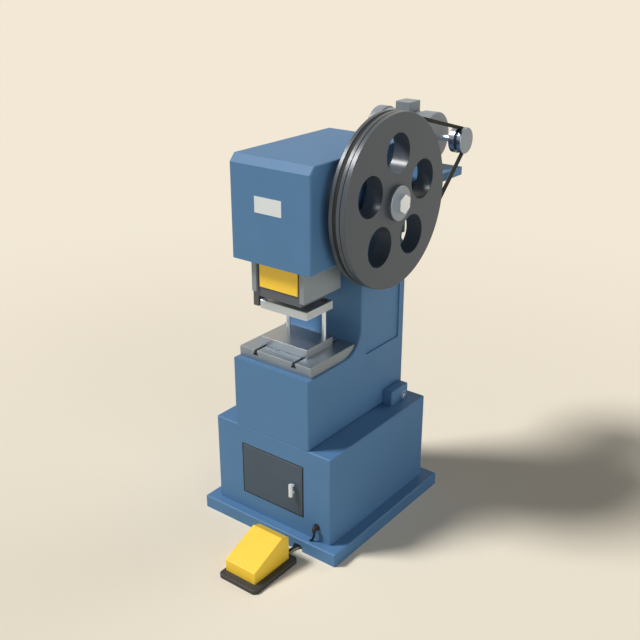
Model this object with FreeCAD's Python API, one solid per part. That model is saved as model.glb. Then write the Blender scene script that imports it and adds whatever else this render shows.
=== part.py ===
import FreeCAD, Part
import math
import os

os.makedirs("parts", exist_ok=True)
V = FreeCAD.Vector

# Mechanical stamping press with a C-frame on a pedestal. Millimetres, +Z up, flywheel on +X, front at -Y.
# The origin is the middle of the plinth's underside.

# ---- base ----
plinth_half_x = 350.0
plinth_half_y = 382.8
plinth_height = 55.8
plinth_wall = 18.0
plinth_top_wall = 17.8
plinth_bevel = 4.0
plinth_rib = 16.0
pedestal_height = 394.5
pedestal_side = 59.4
pedestal_setback = 0.2
pedestal_tail = 22.3
pedestal_wall = 14.0
pedestal_top_wall = 24.0
pedestal_corner = 7.0
base_window_half_x = 200.0
base_window_half_y = 240.0

# ---- cabinet door ----
door_x = 2.0
door_width = 316.0
door_sill = 82.2
door_height = 229.5
door_gap = 1.6
door_thickness = 9.0
door_proud = 2.0
door_pin_radius = 2.0
door_pin_inset = 12.0
door_pin_setback = 3.5
door_pin_seat = 16.0
door_pin_reach = 13.0
door_bore_end = 1.0
handle_inset = 46.0
handle_rise = 116.0
handle_length = 54.0
handle_radius = 9.0
handle_standoff = 18.0
handle_foot_radius = 5.0
handle_foot_inset = 10.0
door_bevel = 1.0
stile_width = 18.0
stile_inset = 6.0
catch_size = 24.0
catch_depth = 16.0

# ---- control gear behind the door ----
panel_side_gap = 93.4
panel_top_gap = 10.5
panel_thickness = 3.0
panel_height_above_plinth = 60.0
standoff_length = 30.0
standoff_radius = 8.0
standoff_inset = 20.0
contactor_width = 90.0
contactor_height = 120.0
contactor_depth = 85.0
moulded_corner = 3.0

# ---- C-frame ----
slide_y = -174.4
frame_half_x = 190.0
frame_gap = 0.3
bed_reach = 169.5
bed_height = 300.2
throat_depth = 176.2
throat_height = 414.9
throat_low_radius = 105.0
throat_high_radius = 50.0
column_depth = 312.4
head_shoulder = 40.0
head_chamfer_y = 27.0
head_chamfer_z = 30.0
frame_wall = 20.0
bed_top_wall = 30.0
head_floor = 30.0
head_front_wall = 15.0
head_roof = 30.0
rear_wall = 18.0
frame_round = 7.0
pocket_front_inset = 33.9
pocket_rear_inset = 39.2
pocket_drop = 24.8
pocket_top_inset = 60.7
pocket_depth = 7.0
pocket_corner = 10.0

# ---- tilt pivot ----
pivot_inset = 64.2
pivot_rise = 23.7
tilt_limit = 25.0
lug_width = 48.0
lug_ahead = 83.0
lug_behind = 41.0
lug_height = 64.0
lug_gap = 0.5
lug_bevel = 3.0
pivot_radius = 12.0
pivot_tip_inset = 5.0
pivot_head_radius = 19.0
pivot_head_height = 9.0
pivot_socket = 16.0
pivot_socket_depth = 5.4
running_clearance = 0.05

# ---- bolster and die set ----
bolster_inset = 11.6
bolster_setback = 28.3
bolster_depth = 286.0
bolster_thickness = 43.7
bolster_clearance = 1.0
slot_offset = 96.0
slot_width = 14.0
slot_neck = 12.0
slot_foot_width = 24.0
slot_foot_height = 10.0
bolster_bolt_radius = 8.0
bolster_bolt_inset = 26.0
bolster_bolt_front_inset = 39.0
bolster_bolt_rear_inset = 13.0
bolster_bolt_depth = 16.0
bolster_bolt_flat = 24.0
bolster_bolt_head = 10.0
shoe_half_x = 115.9
shoe_depth = 166.6
lower_shoe_thickness = 36.9
upper_shoe_thickness = 35.3
post_radius = 9.0
post_x = 91.0
post_setback = 58.4
post_entry = 17.0
post_end_gap = 2.4
bush_wall = 5.0
shoe_bevel = 1.5

# ---- gibs and ram ----
gib_inner = 106.8
gib_thickness = 21.1
gib_ahead = 114.5
gib_behind = 114.8
gib_lift = 20.4
gib_foot_gap = 6.1
gib_foot_height = 18.0
gib_screw_inset = 27.5
groove_depth = 8.0
groove_width = 60.0
screw_shank_radius = 5.0
screw_head_radius = 8.5
screw_head_height = 10.0
screw_socket = 8.0
screw_socket_depth = 5.0
screw_engagement = 11.0
screw_inset = 15.0
slide_clearance = 0.3
ram_height = 188.0
ram_headroom = 19.8
ram_front_inset = 10.9
ram_rear_inset = 10.4
ram_plate_inset = 12.5
ram_plate_lift = 42.8
ram_plate_thickness = 6.0
ram_bevel = 2.0
shank_radius = 20.0
shank_depth = 60.0
ram_wall = 24.0
ram_floor = 72.0
screw_boss_radius = 32.0
stroke = 40.0

# ---- switch beside the left gib ----
switch_width = 28.5
switch_inset = 36.9
switch_depth = 56.0
switch_cover = 42.6
switch_length = 120.0

# ---- crank drive ----
gear_module = 6.0
pinion_teeth = 36
gear_teeth = 42
addendum_share = 0.95
dedendum_share = 1.25
gear_width = 40.0
gear_gap = 17.5
gear_floor_gap = 24.1
gear_front_gap = 5.1
pinion_roof_gap = 44.8
pinion_rear_gap = 88.7
centre_rise_angle = 6.7
pressure_angle = 20.0
tooth_backlash = 0.5
gear_windows = 6
gear_window_radius = 22.7
gear_window_circle = 75.6
crank_throw = stroke / 2.0
crank_pin_radius = 22.0
crank_journal_radius = 30.0
crank_web_radius = 49.0
crank_web_width = 18.0
block_half_y = 34.0
block_half_z = 30.0
block_width = 48.0
yoke_lost_motion = 4.7
yoke_wall = 16.0
yoke_stem_radius = 23.5
yoke_stem_length = 40.0
stem_thread_depth = 32.0
screw_radius = 16.0
screw_depth = 70.0
lock_nut_flat = 60.0
lock_nut_height = 20.0
clutch_radius = 64.0
clutch_width = 22.0
side_gap = 0.5
bearing_wall = 20.0
bearing_boss_depth = 22.0
bearing_boss_wall = 16.0
blind_depth = 30.0
outer_boss_depth = 18.0
cap_overlap = 14.0
cap_thickness = 10.0

# ---- flywheel ----
wheel_radius = 335.6
wheel_width = 71.0
belt_setback = 25.0
belt_groove_depth = 18.0
trim_groove_start = 48.0
trim_groove_width = 4.0
trim_groove_depth = 2.5
wheel_holes = 5
wheel_hole_radius = 78.0
wheel_hole_circle = 184.0
wheel_bevel = 2.0
hub_gap = 10.0
hub_rear_radius = 80.0
hub_rear_length = 12.0
collar_radius = 69.5
collar_height = 13.5
washer_radius = 67.0
washer_height = 5.5
hub_bolt_flat = 66.0
hub_bolt_height = 18.0
hub_bolt_shank = 20.0
hub_bolt_depth = 60.0
back_shaft_radius = 30.0
key_width = 16.0
key_height = 10.0

# ---- motor ----
motor_standoff = 212.2
motor_height = 125.9
bell_radius = 101.0
body_radius = 95.0
motor_left = -160.0
motor_right = 138.0
bell_left_length = 50.0
bell_right_length = 70.0
bell_bevel = 5.0
shaft_radius = 14.0
shaft_inside = 40.0
foot_half_y = 54.0
foot_width = 30.0
foot_screw_inset = 30.0
terminal_x = -11.0
terminal_width = 74.0
terminal_depth = 80.0
terminal_rise = 135.6
terminal_sink = 19.0
pulley_radius = 54.0
pulley_back = 32.0
pulley_front = 25.0
pulley_groove_depth = 15.0
belt_width = 15.0
belt_thickness = 14.0
belt_flank = 18.0
belt_gap = 0.3
bracket_drop = 175.3
bracket_thickness = 34.0
bracket_left = -200.0
bracket_right = 235.0
bracket_tail = 57.2
bracket_flange_drop = 176.0
bracket_wall = 12.0
bracket_neck_gap = 25.0
bracket_flange_thickness = 20.0
gusset_reach = 300.0
gusset_offset = 100.0
gusset_thickness = 14.0
rear_cover_margin = 6.0
rear_cover_thickness = 8.0
rear_window_half_x = 135.0
rear_window_margin = 35.0
cover_screw_drop = 70.0

# ---- nameplate ----
plate_x = -5.85
plate_rise = 199.0
plate_width = 127.9
plate_height = 61.8
plate_thickness = 2.0

# ---- foot pedal ----
tray_left = 22.0
tray_width = 190.0
tray_depth = 262.0
tray_height = 18.0
tray_floor = 4.0
tray_corner = 18.0
tray_bevel = 3.0
treadle_left_inset = 10.0
treadle_right_inset = 29.0
treadle_front_inset = 33.0
treadle_rear_inset = 23.0
treadle_front_top = 67.0
treadle_ridge_inset = 40.0
treadle_ridge_z = 134.5
treadle_rear_top = 117.0
treadle_wall = 3.0
treadle_lift = 11.0
treadle_gap = 1.5
pedal_pin_radius = 4.0
pedal_pin_inset = 14.0
pedal_pin_rise = 20.0
pedal_rest_gap = 1.0
ear_width = 8.0
ear_half_depth = 9.0
ear_above_pin = 8.0
spring_radius = 14.0
spring_wire = 2.4
spring_turns = 6
spring_top = 78.0
spring_seat_margin = 2.0
spring_inset = 69.0
switch_block = 36.0
switch_height = 40.0
pedal_switch_inset = 77.0
rib_thickness = 4.0
gland_length = 10.0
gland_radius = 7.0

# ---- pedal cable ----
cable_radius = 5.0
cable_route = [
    (231.0, -362.0, 106.0),
    (231.0, -362.0, 86.0),
    (218.0, -360.0, 60.0),
    (198.0, -357.0, 36.0),
    (175.0, -358.0, 19.0),
    (155.5, -375.0, 10.0),
    (145.0, -403.0, 9.0),
    (145.0, -430.0, 9.0),
]
cable_hole_clearance = 2.5
cable_hole_overrun = 8.0
notch_left = 138.0
notch_right = 184.0
notch_top = 28.0
elbow_radius = 9.0
elbow_length = 14.0
elbow_flange_radius = 14.0
elbow_flange_thickness = 4.0

# ---- levels, from the floor up ----
pedestal_top = plinth_height + pedestal_height
frame_bottom = pedestal_top + frame_gap
bed_top = frame_bottom + bed_height
bolster_top = bed_top + bolster_thickness
lower_top = bolster_top + lower_shoe_thickness
head_bottom = bed_top + throat_height
head_floor_z = head_bottom + head_floor
pivot_z = pedestal_top + pivot_rise

# ---- gear pair: the head's floor and front clear the bull gear, its roof and rear clear the pinion ----
gear_tip = gear_module * (gear_teeth / 2 + addendum_share)
pinion_tip = gear_module * (pinion_teeth / 2 + addendum_share)
centre_distance = gear_module * (pinion_teeth + gear_teeth) / 2
centre_rise = math.radians(centre_rise_angle)
crank_z = head_floor_z + gear_floor_gap + gear_tip
wheel_y = slide_y + centre_distance * math.cos(centre_rise)
wheel_z = crank_z + centre_distance * math.sin(centre_rise)
head_front = slide_y - gear_tip - gear_front_gap - head_front_wall
head_rear = wheel_y + pinion_tip + pinion_rear_gap + rear_wall
head_top = wheel_z + pinion_tip + pinion_roof_gap + head_roof

# ---- ram and upper shoe, from the crank down; the posts' ends stay under the ram at the stroke's end ----
ram_top = crank_z - gear_tip - ram_headroom
ram_bottom = ram_top - ram_height
gib_bottom = ram_bottom + gib_lift
upper_top = ram_bottom - (stroke + post_entry + post_end_gap - upper_shoe_thickness)
upper_bottom = upper_top - upper_shoe_thickness

# ---- depths ----
bed_front = slide_y - bed_reach
column_front = slide_y + throat_depth
column_rear = column_front + column_depth
pedestal_half_x = frame_half_x + lug_width + pedestal_side
pedestal_front = bed_front - pedestal_setback
pedestal_rear = column_rear + pedestal_tail
pivot_y = column_rear - pivot_inset
gib_front = slide_y - gib_ahead
gib_rear = slide_y + gib_behind
ram_front = gib_front + ram_front_inset
ram_rear = gib_rear - ram_rear_inset


def box(x0, x1, y0, y1, z0, z1):
    return Part.makeBox(x1 - x0, y1 - y0, z1 - z0, V(x0, y0, z0))


def rod_x(radius, x0, x1, y, z):
    return Part.makeCylinder(radius, x1 - x0, V(x0, y, z), V(1, 0, 0))


def rod_y(radius, y0, y1, x, z):
    return Part.makeCylinder(radius, y1 - y0, V(x, y0, z), V(0, 1, 0))


def rod_z(radius, z0, z1, x, y):
    return Part.makeCylinder(radius, z1 - z0, V(x, y, z0), V(0, 0, 1))


def hexagon(flat, start, axis, height):
    corner = flat / math.sqrt(3)
    side = V(0, 0, 1) if abs(axis.z) < 0.5 else V(1, 0, 0)
    points = []
    for k in range(7):
        turn = FreeCAD.Rotation(axis, 60.0 * k)
        points.append(start + turn.multVec(side * corner))
    return Part.Face(Part.makePolygon(points)).extrude(axis * height)


def upright_edges(shape):
    found = []
    for edge in shape.Edges:
        ends = [v.Point for v in edge.Vertexes]
        if len(ends) == 2 and abs(ends[0].x - ends[1].x) < 0.01 and abs(ends[0].y - ends[1].y) < 0.01:
            found.append(edge)
    return found


def level_edges(shape, z):
    return [e for e in shape.Edges if all(abs(v.Point.z - z) < 0.01 for v in e.Vertexes)]


def edges_facing_y(shape, y):
    return [e for e in shape.Edges if all(abs(v.Point.y - y) < 0.01 for v in e.Vertexes)]


def edges_along_x(shape):
    return [e for e in shape.Edges if abs(e.Vertexes[0].Point.x - e.Vertexes[-1].Point.x) > 1]


def outline_x(points, x0, x1):
    # Extrudes a closed (y, z) outline along X. A point may be a corner or an arc's (mid, end) pair.
    edges = []
    here = points[0]
    for item in points[1:]:
        if isinstance(item[0], tuple):
            mid, end = item
            edges.append(Part.Arc(V(x0, *here), V(x0, *mid), V(x0, *end)).toShape())
        else:
            end = item
            edges.append(Part.LineSegment(V(x0, *here), V(x0, *end)).toShape())
        here = end
    return Part.Face(Part.Wire(edges)).extrude(V(x1 - x0, 0, 0))


def turned_x(points, y, z):
    # Revolves an (x, radius) outline about the line through (y, z) along X.
    corners = [V(px, y, z + r) for px, r in points]
    face = Part.Face(Part.makePolygon(corners + corners[:1]))
    return face.revolve(V(0, y, z), V(1, 0, 0), 360)


def save(name, shape):
    solid = shape.removeSplitter() if len(shape.Solids) == 1 else shape
    solid.exportStep("parts/" + name + ".step")
    print(name, len(solid.Solids), "solids", round(solid.Volume / 1000, 2), "cm3")


# ---------------- base ----------------
plinth = box(-plinth_half_x, plinth_half_x, -plinth_half_y, plinth_half_y, 0, plinth_height)
plinth = plinth.makeChamfer(plinth_bevel, upright_edges(plinth) + level_edges(plinth, plinth_height))
pedestal = box(-pedestal_half_x, pedestal_half_x, pedestal_front, pedestal_rear, plinth_height, pedestal_top)
pedestal = pedestal.makeFillet(pedestal_corner, upright_edges(pedestal))
pedestal = pedestal.makeChamfer(pedestal_corner / 2, level_edges(pedestal, pedestal_top))
plinth_hollow_x = plinth_half_x - plinth_wall
plinth_hollow_y = plinth_half_y - plinth_wall
plinth_ceiling = plinth_height - plinth_top_wall
plinth_hollow = box(-plinth_hollow_x, plinth_hollow_x, -plinth_hollow_y, plinth_hollow_y, 0, plinth_ceiling)
room_x = pedestal_half_x - pedestal_wall
room_front = pedestal_front + pedestal_wall
room_rear = pedestal_rear - pedestal_wall
room_top = pedestal_top - pedestal_top_wall
room = box(-room_x, room_x, room_front, room_rear, plinth_height, room_top)
window = box(-base_window_half_x, base_window_half_x, -base_window_half_y, base_window_half_y,
             plinth_ceiling, plinth_height)
ribs = [box(-plinth_hollow_x, plinth_hollow_x, -plinth_rib / 2, plinth_rib / 2, 0, plinth_ceiling),
        box(-plinth_rib / 2, plinth_rib / 2, -plinth_hollow_y, plinth_hollow_y, 0, plinth_ceiling)]
door_left = door_x - door_width / 2
door_right = door_x + door_width / 2
door_bottom = plinth_height + door_sill
door_top = door_bottom + door_height
doorway = box(door_left, door_right, pedestal_front, room_front, door_bottom, door_top)
door_y0 = pedestal_front - door_proud
door_y1 = door_y0 + door_thickness
pin_x = door_left + door_gap + door_pin_inset
pin_y = pedestal_front + door_pin_setback
# The door hangs on two pins that stand in the wall just past its ends.
pins = []
for z, way in ((door_bottom, -1), (door_top, 1)):
    pin_low = min(z + way * door_pin_seat, z - way * door_pin_reach)
    pins.append(rod_z(door_pin_radius, pin_low, pin_low + door_pin_seat + door_pin_reach, pin_x, pin_y))
# The cable goes down through a slanted hole in the plinth's top and out by a notch in its front skirt.
hole_start = V(*cable_route[2])
hole_end = V(*cable_route[3])
hole_line = hole_end - hole_start
overrun = V(hole_line).normalize() * cable_hole_overrun
cable_hole = Part.makeCylinder(cable_radius + cable_hole_clearance, hole_line.Length + 2 * cable_hole_overrun,
                               hole_start - overrun, hole_line)
notch = box(notch_left, notch_right, -plinth_half_y, -plinth_hollow_y, 0, notch_top)
notch = notch.makeFillet(notch_top / 2, [e for e in level_edges(notch, notch_top)
                                         if abs(e.Vertexes[0].Point.y - e.Vertexes[1].Point.y) > 1])
elbow_x, elbow_y, elbow_z = cable_route[0]
elbow_mid_z = elbow_z + elbow_length
gland_hole = rod_y(elbow_radius, pedestal_front, room_front, elbow_x, elbow_mid_z)
base = plinth.fuse(pedestal)
base = base.cut([plinth_hollow, room, window, doorway, gland_hole]).fuse(ribs)
base = base.cut([cable_hole, notch] + pins)
save("base_casting", base)

# ---------------- door ----------------
door = box(door_left + door_gap, door_right - door_gap, door_y0, door_y1,
           door_bottom + door_gap, door_top - door_gap)
door = door.makeChamfer(door_bevel, edges_facing_y(door, door_y0))
stile_right = door_right - door_gap - stile_inset
stile = box(stile_right - stile_width, stile_right, door_y1, room_front - frame_gap,
            door_bottom + stile_inset, door_top - stile_inset)
door_bores = []
for z, way in ((door_bottom, -1), (door_top, 1)):
    end = z - way * (door_pin_reach + door_bore_end)
    door_bores.append(rod_z(door_pin_radius + running_clearance, min(z, end), max(z, end), pin_x, pin_y))
save("cabinet_door", door.fuse(stile).cut(door_bores))
save("door_pins", Part.makeCompound(pins))
handle_x = door_right - handle_inset
handle_z = door_bottom + handle_rise
grip_y = door_y0 - handle_standoff
grip = rod_z(handle_radius, handle_z - handle_length / 2, handle_z + handle_length / 2, handle_x, grip_y)
foot_z = handle_length / 2 - handle_foot_inset
feet = [rod_y(handle_foot_radius, grip_y, door_y0, handle_x, handle_z + side * foot_z) for side in (-1, 1)]
save("door_handle", grip.fuse(feet))
catch_x = stile_right - stile_width / 2
catch_z = (door_bottom + door_top) / 2
save("door_catch", box(catch_x, door_right + catch_size, room_front, room_front + catch_depth,
                       catch_z - catch_size / 2, catch_z + catch_size / 2))

# ---------------- control gear ----------------
panel_y = room_rear - standoff_length - panel_thickness
panel_z = plinth_height + panel_height_above_plinth
panel_width = 2 * (room_x - panel_side_gap)
panel_height = room_top - panel_top_gap - panel_z
panel = box(-panel_width / 2, panel_width / 2, panel_y, panel_y + panel_thickness,
            panel_z, panel_z + panel_height)
for x in (-1, 1):
    for z in (standoff_inset, panel_height - standoff_inset):
        foot = rod_y(standoff_radius, panel_y, room_rear, x * (panel_width / 2 - standoff_inset), panel_z + z)
        panel = panel.fuse(foot)
save("control_plate", panel)
contactor_z = panel_z + (panel_height - contactor_height) / 2
contactor = box(-contactor_width / 2, contactor_width / 2, panel_y - contactor_depth, panel_y,
                contactor_z, contactor_z + contactor_height)
contactor = contactor.makeFillet(moulded_corner, upright_edges(contactor))
save("contactor", contactor)

# ---------------- C-frame ----------------
heel_z = frame_bottom + (column_rear - pivot_y) * math.tan(math.radians(tilt_limit))
low_centre = (column_front - throat_low_radius, bed_top + throat_low_radius)
high_centre = (column_front - throat_high_radius, head_bottom - throat_high_radius)
slant = math.sqrt(0.5)
frame_outline = [
    (bed_front, frame_bottom),
    (bed_front, bed_top),
    (low_centre[0], bed_top),
    ((low_centre[0] + throat_low_radius * slant, low_centre[1] - throat_low_radius * slant),
     (column_front, low_centre[1])),
    (column_front, high_centre[1]),
    ((high_centre[0] + throat_high_radius * slant, high_centre[1] + throat_high_radius * slant),
     (high_centre[0], head_bottom)),
    (head_front, head_bottom),
    (head_front, head_top - head_chamfer_z),
    (head_front + head_chamfer_y, head_top),
    (head_rear, head_top),
    (head_rear, head_bottom),
    (column_rear, head_bottom - head_shoulder),
    (column_rear, heel_z),
    (pivot_y, frame_bottom),
    (bed_front, frame_bottom),
]
c_frame = outline_x(frame_outline, -frame_half_x, frame_half_x)
rim = [e for e in c_frame.Edges if all(abs(abs(v.Point.x) - frame_half_x) < 0.01 for v in e.Vertexes)
       and abs(e.Vertexes[0].Point.x - e.Vertexes[-1].Point.x) < 0.01]
c_frame = c_frame.makeFillet(frame_round, rim)
inner_x = frame_half_x - frame_wall
bed_room = box(-inner_x, inner_x, bed_front + frame_wall, column_rear - frame_wall,
               frame_bottom, bed_top - bed_top_wall)
column_room = box(-inner_x, inner_x, column_front + frame_wall, column_rear - frame_wall,
                  frame_bottom, head_bottom - head_shoulder)
head_room = box(-inner_x, inner_x, head_front + head_front_wall, head_rear - rear_wall,
                head_floor_z, head_top - head_roof)
rear_window = box(-rear_window_half_x, rear_window_half_x, head_rear - rear_wall, head_rear,
                  head_bottom + rear_window_margin, head_top - rear_window_margin)
gib_outer = gib_inner + gib_thickness
gib_seat = box(-gib_outer, gib_outer, gib_front, gib_rear, head_bottom, head_floor_z)
bolster_half_x = frame_half_x - bolster_inset
bolster_front = bed_front + bolster_setback
bolster_rear = bolster_front + bolster_depth
seat_half_x = bolster_half_x + bolster_clearance
bolster_seat = box(-seat_half_x, seat_half_x, bolster_front, bolster_rear + bolster_clearance,
                   bed_top, bed_top + throat_low_radius)
pockets = []
for side in (-1, 1):
    x0 = side * frame_half_x
    x1 = side * (frame_half_x - pocket_depth)
    pocket = box(min(x0, x1), max(x0, x1), column_front + pocket_front_inset, column_rear - pocket_rear_inset,
                 bed_top - pocket_drop, head_bottom - pocket_top_inset)
    pockets.append(pocket.makeFillet(pocket_corner, edges_along_x(pocket)))

bore_radius = crank_journal_radius + bearing_wall
boss_radius = bore_radius + bearing_boss_wall
boss_x = inner_x - bearing_boss_depth
bosses = []
bores = []
for y, z in ((wheel_y, wheel_z), (slide_y, crank_z)):
    bosses += [rod_x(boss_radius, -inner_x, -boss_x, y, z), rod_x(boss_radius, boss_x, inner_x, y, z)]
    bores.append(rod_x(bore_radius, -frame_half_x, -boss_x, y, z))
outer_x = frame_half_x + outer_boss_depth
bosses.append(rod_x(boss_radius, inner_x, outer_x, wheel_y, wheel_z))
bores.append(rod_x(bore_radius, boss_x, outer_x, wheel_y, wheel_z))
blind_x = boss_x + blind_depth
bores.append(rod_x(bore_radius, boss_x, blind_x, slide_y, crank_z))
pivot_bores = [rod_x(pivot_radius + running_clearance, side - 1, side + frame_wall + 1, pivot_y, pivot_z)
               for side in (-frame_half_x, inner_x)]
bolt_spots = [(x * (bolster_half_x - bolster_bolt_inset), y) for x in (-1, 1)
              for y in (bolster_front + bolster_bolt_front_inset, low_centre[0] - bolster_bolt_rear_inset)]
bolt_holes = [rod_z(bolster_bolt_radius, bed_top - bed_top_wall, bed_top, x, y) for x, y in bolt_spots]
c_frame = c_frame.cut([bed_room, column_room, head_room, rear_window, gib_seat, bolster_seat] + pockets)
c_frame = c_frame.fuse(bosses).cut(bores + pivot_bores + bolt_holes)

# ---------------- fasteners that share one pattern ----------------
cap_screws = []


def cap_screw(place, way, clamped):
    # way points from the tip to the head; place is the seat under the head, clamped the thickness it holds.
    shank = Part.makeCylinder(screw_shank_radius, clamped + screw_engagement, place, way * -1)
    head = Part.makeCylinder(screw_head_radius, screw_head_height, place, way)
    socket_floor = place + way * (screw_head_height - screw_socket_depth)
    socket = hexagon(screw_socket, socket_floor, way, screw_socket_depth)
    cap_screws.append(head.fuse(shank).cut(socket))
    return shank


# ---------------- tilt pivot ----------------
lug_front = pivot_y - lug_ahead
lug_rear = pivot_y + lug_behind
pivot_bolts = []
for side, name in ((-1, "pivot_lug_left"), (1, "pivot_lug_right")):
    x0 = side * (frame_half_x + lug_gap)
    x1 = side * (frame_half_x + lug_width)
    lug = box(min(x0, x1), max(x0, x1), lug_front, lug_rear, pedestal_top, pedestal_top + lug_height)
    lug = lug.makeChamfer(lug_bevel, upright_edges(lug) + level_edges(lug, pedestal_top + lug_height))
    inner_end = side * (inner_x - pivot_tip_inset)
    shank = rod_x(pivot_radius, min(inner_end, x1), max(inner_end, x1), pivot_y, pivot_z)
    save(name, lug.cut(shank))
    head_end = x1 + side * pivot_head_height
    head = rod_x(pivot_head_radius, min(x1, head_end), max(x1, head_end), pivot_y, pivot_z)
    socket = hexagon(pivot_socket, V(head_end - side * pivot_socket_depth, pivot_y, pivot_z),
                     V(side, 0, 0), pivot_socket_depth)
    pivot_bolts.append(head.fuse(shank).cut(socket))
save("pivot_bolts", Part.makeCompound(pivot_bolts))

# ---------------- bolster and die set ----------------
bolster = box(-bolster_half_x, bolster_half_x, bolster_front, bolster_rear, bed_top, bolster_top)
bolster = bolster.makeChamfer(shoe_bevel, level_edges(bolster, bolster_top) + upright_edges(bolster))
slots = []
for side in (-1, 1):
    x = side * slot_offset
    neck_z = bolster_top - slot_neck
    slots.append(box(x - slot_width / 2, x + slot_width / 2, bolster_front, bolster_rear,
                     neck_z, bolster_top))
    slots.append(box(x - slot_foot_width / 2, x + slot_foot_width / 2, bolster_front, bolster_rear,
                     neck_z - slot_foot_height, neck_z))
bolster_bolts = []
for x, y in bolt_spots:
    seat = bed_top - bed_top_wall
    shank = rod_z(bolster_bolt_radius, seat, bed_top + bolster_bolt_depth, x, y)
    head = hexagon(bolster_bolt_flat, V(x, y, seat), V(0, 0, -1), bolster_bolt_head)
    bolster_bolts.append(shank.fuse(head))
    slots.append(shank)
save("bolster", bolster.cut(slots))
save("bolster_bolts", Part.makeCompound(bolster_bolts))

post_y = slide_y + post_setback
post_spots = [(-post_x, "left"), (post_x, "right")]


def die_shoe(z0, z1, hole_radius):
    shoe = box(-shoe_half_x, shoe_half_x, slide_y - shoe_depth / 2, slide_y + shoe_depth / 2, z0, z1)
    shoe = shoe.makeChamfer(shoe_bevel, shoe.Edges)
    return shoe.cut([rod_z(hole_radius, z0, z1, x, post_y) for x, side in post_spots])


save("lower_die_shoe", die_shoe(bolster_top, lower_top, post_radius))
save("upper_die_shoe", die_shoe(upper_bottom, upper_top, post_radius + bush_wall))
bushes = []
for x, side in post_spots:
    save("guide_post_" + side, rod_z(post_radius, bolster_top, upper_bottom + post_entry, x, post_y))
    bush = rod_z(post_radius + bush_wall, upper_bottom, upper_top, x, post_y)
    bushes.append(bush.cut(rod_z(post_radius + running_clearance, upper_bottom, upper_top, x, post_y)))
save("guide_bushes", Part.makeCompound(bushes))

# ---------------- gibs ----------------
groove_y0 = slide_y - groove_width / 2
groove_y1 = slide_y + groove_width / 2
foot_top = head_floor_z + gib_foot_height
foot_outer = inner_x - gib_foot_gap


def mirrored_box(side, a, b, y0, y1, z0, z1):
    return box(min(side * a, side * b), max(side * a, side * b), y0, y1, z0, z1)


gib_shanks = []
for side, name in ((-1, "gib_left"), (1, "gib_right")):
    gib = mirrored_box(side, gib_inner, gib_outer, gib_front, gib_rear, gib_bottom, foot_top)
    gib = gib.fuse(mirrored_box(side, gib_outer, foot_outer, gib_front, gib_rear, head_floor_z, foot_top))
    gib = gib.cut(mirrored_box(side, gib_inner, gib_inner + groove_depth, groove_y0, groove_y1,
                               gib_bottom, foot_top))
    for y in (gib_front + gib_screw_inset, (gib_front + gib_rear) / 2, gib_rear - gib_screw_inset):
        shank = cap_screw(V(side * (gib_outer + foot_outer) / 2, y, foot_top), V(0, 0, 1), gib_foot_height)
        gib_shanks.append(shank)
        gib = gib.cut(shank)
    save(name, gib)
switch_x1 = -gib_outer
switch_front = gib_front + switch_inset
switch_top = gib_bottom + switch_cover
slide_switch = box(switch_x1 - switch_width, switch_x1, switch_front, switch_front + switch_depth,
                   switch_top - switch_length, switch_top)
slide_switch = slide_switch.makeFillet(moulded_corner, upright_edges(slide_switch))
save("slide_switch", slide_switch)

# ---------------- ram ----------------
ram_half = gib_inner - slide_clearance
tongue_half = gib_inner + groove_depth - slide_clearance
ram = box(-ram_half, ram_half, ram_front, ram_rear, ram_bottom, ram_top)
ram = ram.makeChamfer(ram_bevel, level_edges(ram, ram_bottom))
ram = ram.fuse(box(-tongue_half, tongue_half, groove_y0 + slide_clearance, groove_y1 - slide_clearance,
                   gib_bottom + ram_bevel, ram_top))
shank_top = ram_bottom + shank_depth
hollow = box(-ram_half + ram_wall, ram_half - ram_wall, ram_front + ram_wall, ram_rear - ram_wall,
             ram_bottom + ram_floor, ram_top)
screw_boss = rod_z(screw_boss_radius, shank_top, ram_top, 0, slide_y)
ram = ram.cut(hollow.cut(screw_boss))
ram = ram.cut([rod_z(shank_radius, ram_bottom, shank_top, 0, slide_y),
               rod_z(screw_radius, ram_top - screw_depth, ram_top, 0, slide_y)])
save("ram", ram)
ram_plate_half_x = ram_half - ram_plate_inset
ram_plate = box(-ram_plate_half_x, ram_plate_half_x, ram_front - ram_plate_thickness, ram_front,
                ram_bottom + ram_plate_lift, ram_top)
plate_face = edges_facing_y(ram_plate, ram_front - ram_plate_thickness)
save("ram_plate", ram_plate.makeChamfer(shoe_bevel, plate_face))
save("die_shank", rod_z(shank_radius, upper_top, shank_top, 0, slide_y))

# ---------------- crank drive: crankshaft, slide block and yoke ----------------
pin_z = crank_z + crank_throw
slot_half_y = block_half_y + crank_throw + side_gap
slot_half_z = block_half_z + yoke_lost_motion
yoke_half_z = slot_half_z + yoke_wall
yoke_half_x = block_width / 2
stem_bottom = pin_z - yoke_half_z - yoke_stem_length
yoke = box(-yoke_half_x, yoke_half_x, slide_y - slot_half_y - yoke_wall, slide_y + slot_half_y + yoke_wall,
           pin_z - yoke_half_z, pin_z + yoke_half_z)
yoke = yoke.makeFillet(yoke_wall, edges_along_x(yoke))
yoke = yoke.cut(box(-yoke_half_x, yoke_half_x, slide_y - slot_half_y, slide_y + slot_half_y,
                    pin_z - slot_half_z, pin_z + slot_half_z))
yoke = yoke.fuse(rod_z(yoke_stem_radius, stem_bottom, pin_z - yoke_half_z + 1, 0, slide_y))
screw_top = stem_bottom + stem_thread_depth
yoke = yoke.cut(rod_z(screw_radius, stem_bottom, screw_top, 0, slide_y))
save("yoke", yoke)
save("adjusting_screw", rod_z(screw_radius, ram_top - screw_depth, screw_top, 0, slide_y))
lock_nut = hexagon(lock_nut_flat, V(0, slide_y, ram_top), V(0, 0, 1), lock_nut_height)
save("lock_nut", lock_nut.cut(rod_z(screw_radius, ram_top, ram_top + lock_nut_height, 0, slide_y)))
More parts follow.
